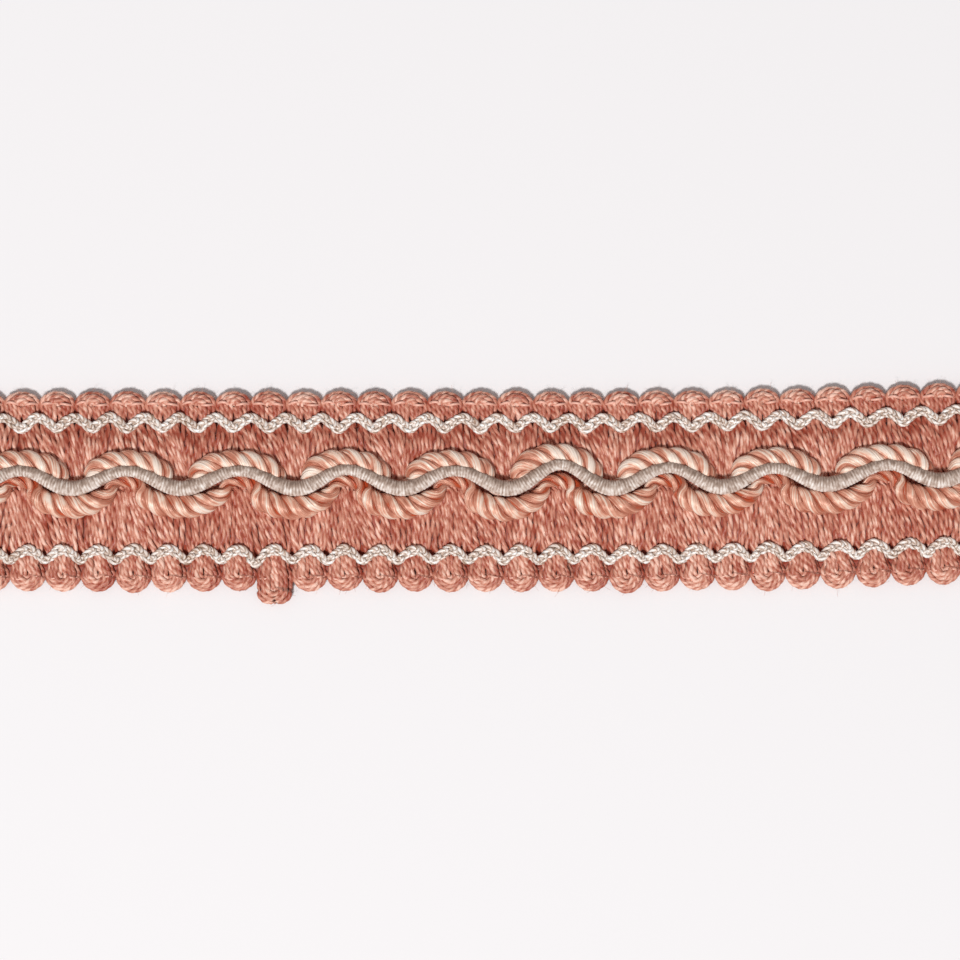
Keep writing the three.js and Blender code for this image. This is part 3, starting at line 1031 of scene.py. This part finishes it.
def makeSatinCord(name, node, side):
    route = satinRoute(side)
    route[:, 2] = satin["underside"] + route[:, 2] / 2
    points, sideways, run = evenSteps(route, satin["step"])
    high = 2 * (points[:, 2] - satin["underside"])
    wide, pressed = points[:, 3], points[:, 4]
    points = points[:, :3]
    strands = []
    outward = []
    for ply in range(satin["plies"]):
        angle = 2 * np.pi * (run / satin["lead"][side] + ply / satin["plies"])
        out = sideways * (wide / 2 * np.cos(angle))[:, None]
        out[:, 2] = high / 2 * np.sin(angle)
        strands.append(points + out * satin["plyPlace"])
        outward.append(unit(out))
    outline = ringOutline(satin["corners"])
    size = np.sqrt(wide * high) / 2
    section = outline * [satin["plyDeep"], satin["plyWide"]] * size[None, :, None, None]
    # Painted highlight along each ply's crown and painted shade towards its sides, and at the pressed turns
    # painted shade, deepest in the furrows
    look = satin["reliefShading"]
    crownHighlight = np.maximum(0, outline[:, 0]) ** look["sharpness"]
    reliefShading = look["side"] + look["crownHighlight"] * crownHighlight
    reliefShading = reliefShading - pressed[None, :, None] * (look["side"] - look["highlightPressed"] * crownHighlight)
    tones = np.full((satin["plies"], 1), satin["tone"][side])
    piece = layTubes(name, np.stack(strands), np.stack(outward), section, reliefShading, tones)
    finish(piece, node, peachSatin)


makeSatinCord("satin_cord_far", "far_satin_cord", 1)
makeSatinCord("satin_cord_near", "near_satin_cord", -1)

# Beige wrapped cord: a fine thread wound round a core, each turn a small ridge
wrapped = {
    "middle": 1.41,
    "swing": 1.08,
    "topHeight": 4.0,
    "radius": 0.86,
    "thinner": 0.14,  # on its crests, and as much thicker in its troughs
    "flattened": 0.9,  # its height, as a share of its width
    "ridge": 0.08,
    "threadPitch": 0.38,
    "threadUneven": 0.4,
    "threadSizes": 4000,  # drawn once, and used in turn
    "stepsPerThread": 8,
    "routeSteps": 4000,
    "corners": 18,
    "reliefShading": {"groove": 0.18, "ridge": 0.5, "sides": 0.28},
}


def wrappedRoute():
    marks = wavePlaces("crest", "trough")
    x = np.linspace(-halfLength, halfLength, wrapped["routeSteps"])
    phase = np.interp(x, marks, np.pi * np.arange(len(marks)))
    lift = np.interp(x, marks[::2], [wave["lift"] for wave in waves])
    y = wrapped["middle"] + wrapped["swing"] * np.cos(phase) + lift * (0.5 + 0.5 * np.cos(phase))
    radius = wrapped["radius"] - wrapped["thinner"] * np.cos(phase)
    height = wrapped["topHeight"] - wrapped["flattened"] * radius
    return np.stack([x, y + bend(x), height, radius], axis=-1)


def makeWrappedCord(name, node):
    threadStep = wrapped["threadPitch"] / wrapped["stepsPerThread"]
    points, _, run = evenSteps(wrappedRoute(), threadStep)
    corner = 2 * np.pi * np.arange(wrapped["corners"]) / wrapped["corners"]
    winding = 2 * np.pi * run[:, None] / wrapped["threadPitch"] - corner[None, :]
    turns = np.floor(winding / (2 * np.pi) + 0.5).astype(int)
    sizes = 1 - wrapped["threadUneven"] + wrapped["threadUneven"] * chance.random(wrapped["threadSizes"])
    ridge = np.sqrt(np.abs(np.cos(winding / 2))) * sizes[turns % wrapped["threadSizes"]]
    size = points[:, 3:] - wrapped["ridge"] * (1 - ridge)
    section = np.stack([wrapped["flattened"] * np.cos(corner) * size, np.sin(corner) * size], axis=-1)
    middles = points[None, :, :3]
    # Painted shade in the grooves between the turns and painted highlight on their ridges, with painted light
    # on the near side and painted shade on the far side
    look = wrapped["reliefShading"]
    reliefShading = look["groove"] + look["ridge"] * ridge[None] + look["sides"] * np.sin(corner)
    piece = layTubes(name, middles, upwards(middles), section[None], reliefShading)
    finish(piece, node, beigeThread)


makeWrappedCord("wrapped_cord_wave", "wrapped_cord")

# Table, light, sky and camera, in metres
studio = {
    "tableColour": "F4F1F2",
    "tableRoughness": 0.9,
    "tableSize": 4,
    "tableBelow": 0.00002,  # so that the strip's back and the table don't coincide
    "cameraDistance": 0.42,
    "cameraFrom": 0.002,  # the height that the distance is measured from
    "sensorWidth": 36,  # millimetres
    "pictureWidth": 0.1188,
    "pictureMiddle": 0.00136,  # the picture's middle lies this far beyond the strip's middle line
    "nearestSeen": 0.01,
    "farthestSeen": 10,
    "keyPlace": (-0.32, -0.72, 1.7),
    "keySize": 0.38,
    "keyPower": 26.3,
    "skyStrength": 0.342,
}


def makeTable():
    bpy.ops.mesh.primitive_plane_add(size=studio["tableSize"], location=(0, 0, -studio["tableBelow"]))
    table = bpy.context.object
    table.name = "table_top"
    bpy.ops.object.transform_apply(location=True, rotation=True, scale=True)
    paper = bpy.data.materials.new("matt_white_paper")
    paper.use_nodes = True
    shader = paper.node_tree.nodes["Principled BSDF"]
    shader.inputs["Base Color"].default_value = linearOf(studio["tableColour"])
    shader.inputs["Roughness"].default_value = studio["tableRoughness"]
    table.data.materials.append(paper)


# A round softbox that is turned towards the strip
def makeKeyLight():
    light = bpy.data.lights.new("key_softbox", "AREA")
    light.shape = "DISK"
    light.size = studio["keySize"]
    light.energy = studio["keyPower"]
    key = bpy.data.objects.new("key_softbox", light)
    key.location = studio["keyPlace"]
    aim = -np.array(studio["keyPlace"])
    lean = math.atan2(math.hypot(aim[0], aim[1]), -aim[2])
    turn = math.atan2(aim[0], -aim[1]) + math.pi
    key.rotation_euler = (lean, 0, turn)
    bpy.context.scene.collection.objects.link(key)


def makeSky():
    world = bpy.data.worlds.new("pale_studio")
    world.use_nodes = True
    background = world.node_tree.nodes["Background"]
    background.inputs["Color"].default_value = (1, 1, 1, 1)
    background.inputs["Strength"].default_value = studio["skyStrength"]
    bpy.context.scene.world = world


# A camera straight above, with the lens that takes in the picture's width
def makeCamera():
    lens = bpy.data.cameras.new("camera_above")
    lens.sensor_width = studio["sensorWidth"]
    lens.lens = studio["sensorWidth"] * studio["cameraDistance"] / studio["pictureWidth"]
    lens.clip_start = studio["nearestSeen"]
    lens.clip_end = studio["farthestSeen"]
    camera = bpy.data.objects.new("camera_above", lens)
    middle = middleLine * mm + studio["pictureMiddle"]
    camera.location = (0, middle, studio["cameraDistance"] + studio["cameraFrom"])
    bpy.context.scene.collection.objects.link(camera)
    bpy.context.scene.camera = camera
    bpy.context.scene.view_settings.view_transform = "Standard"


makeTable()
makeKeyLight()
makeSky()
makeCamera()
print("studio ready")
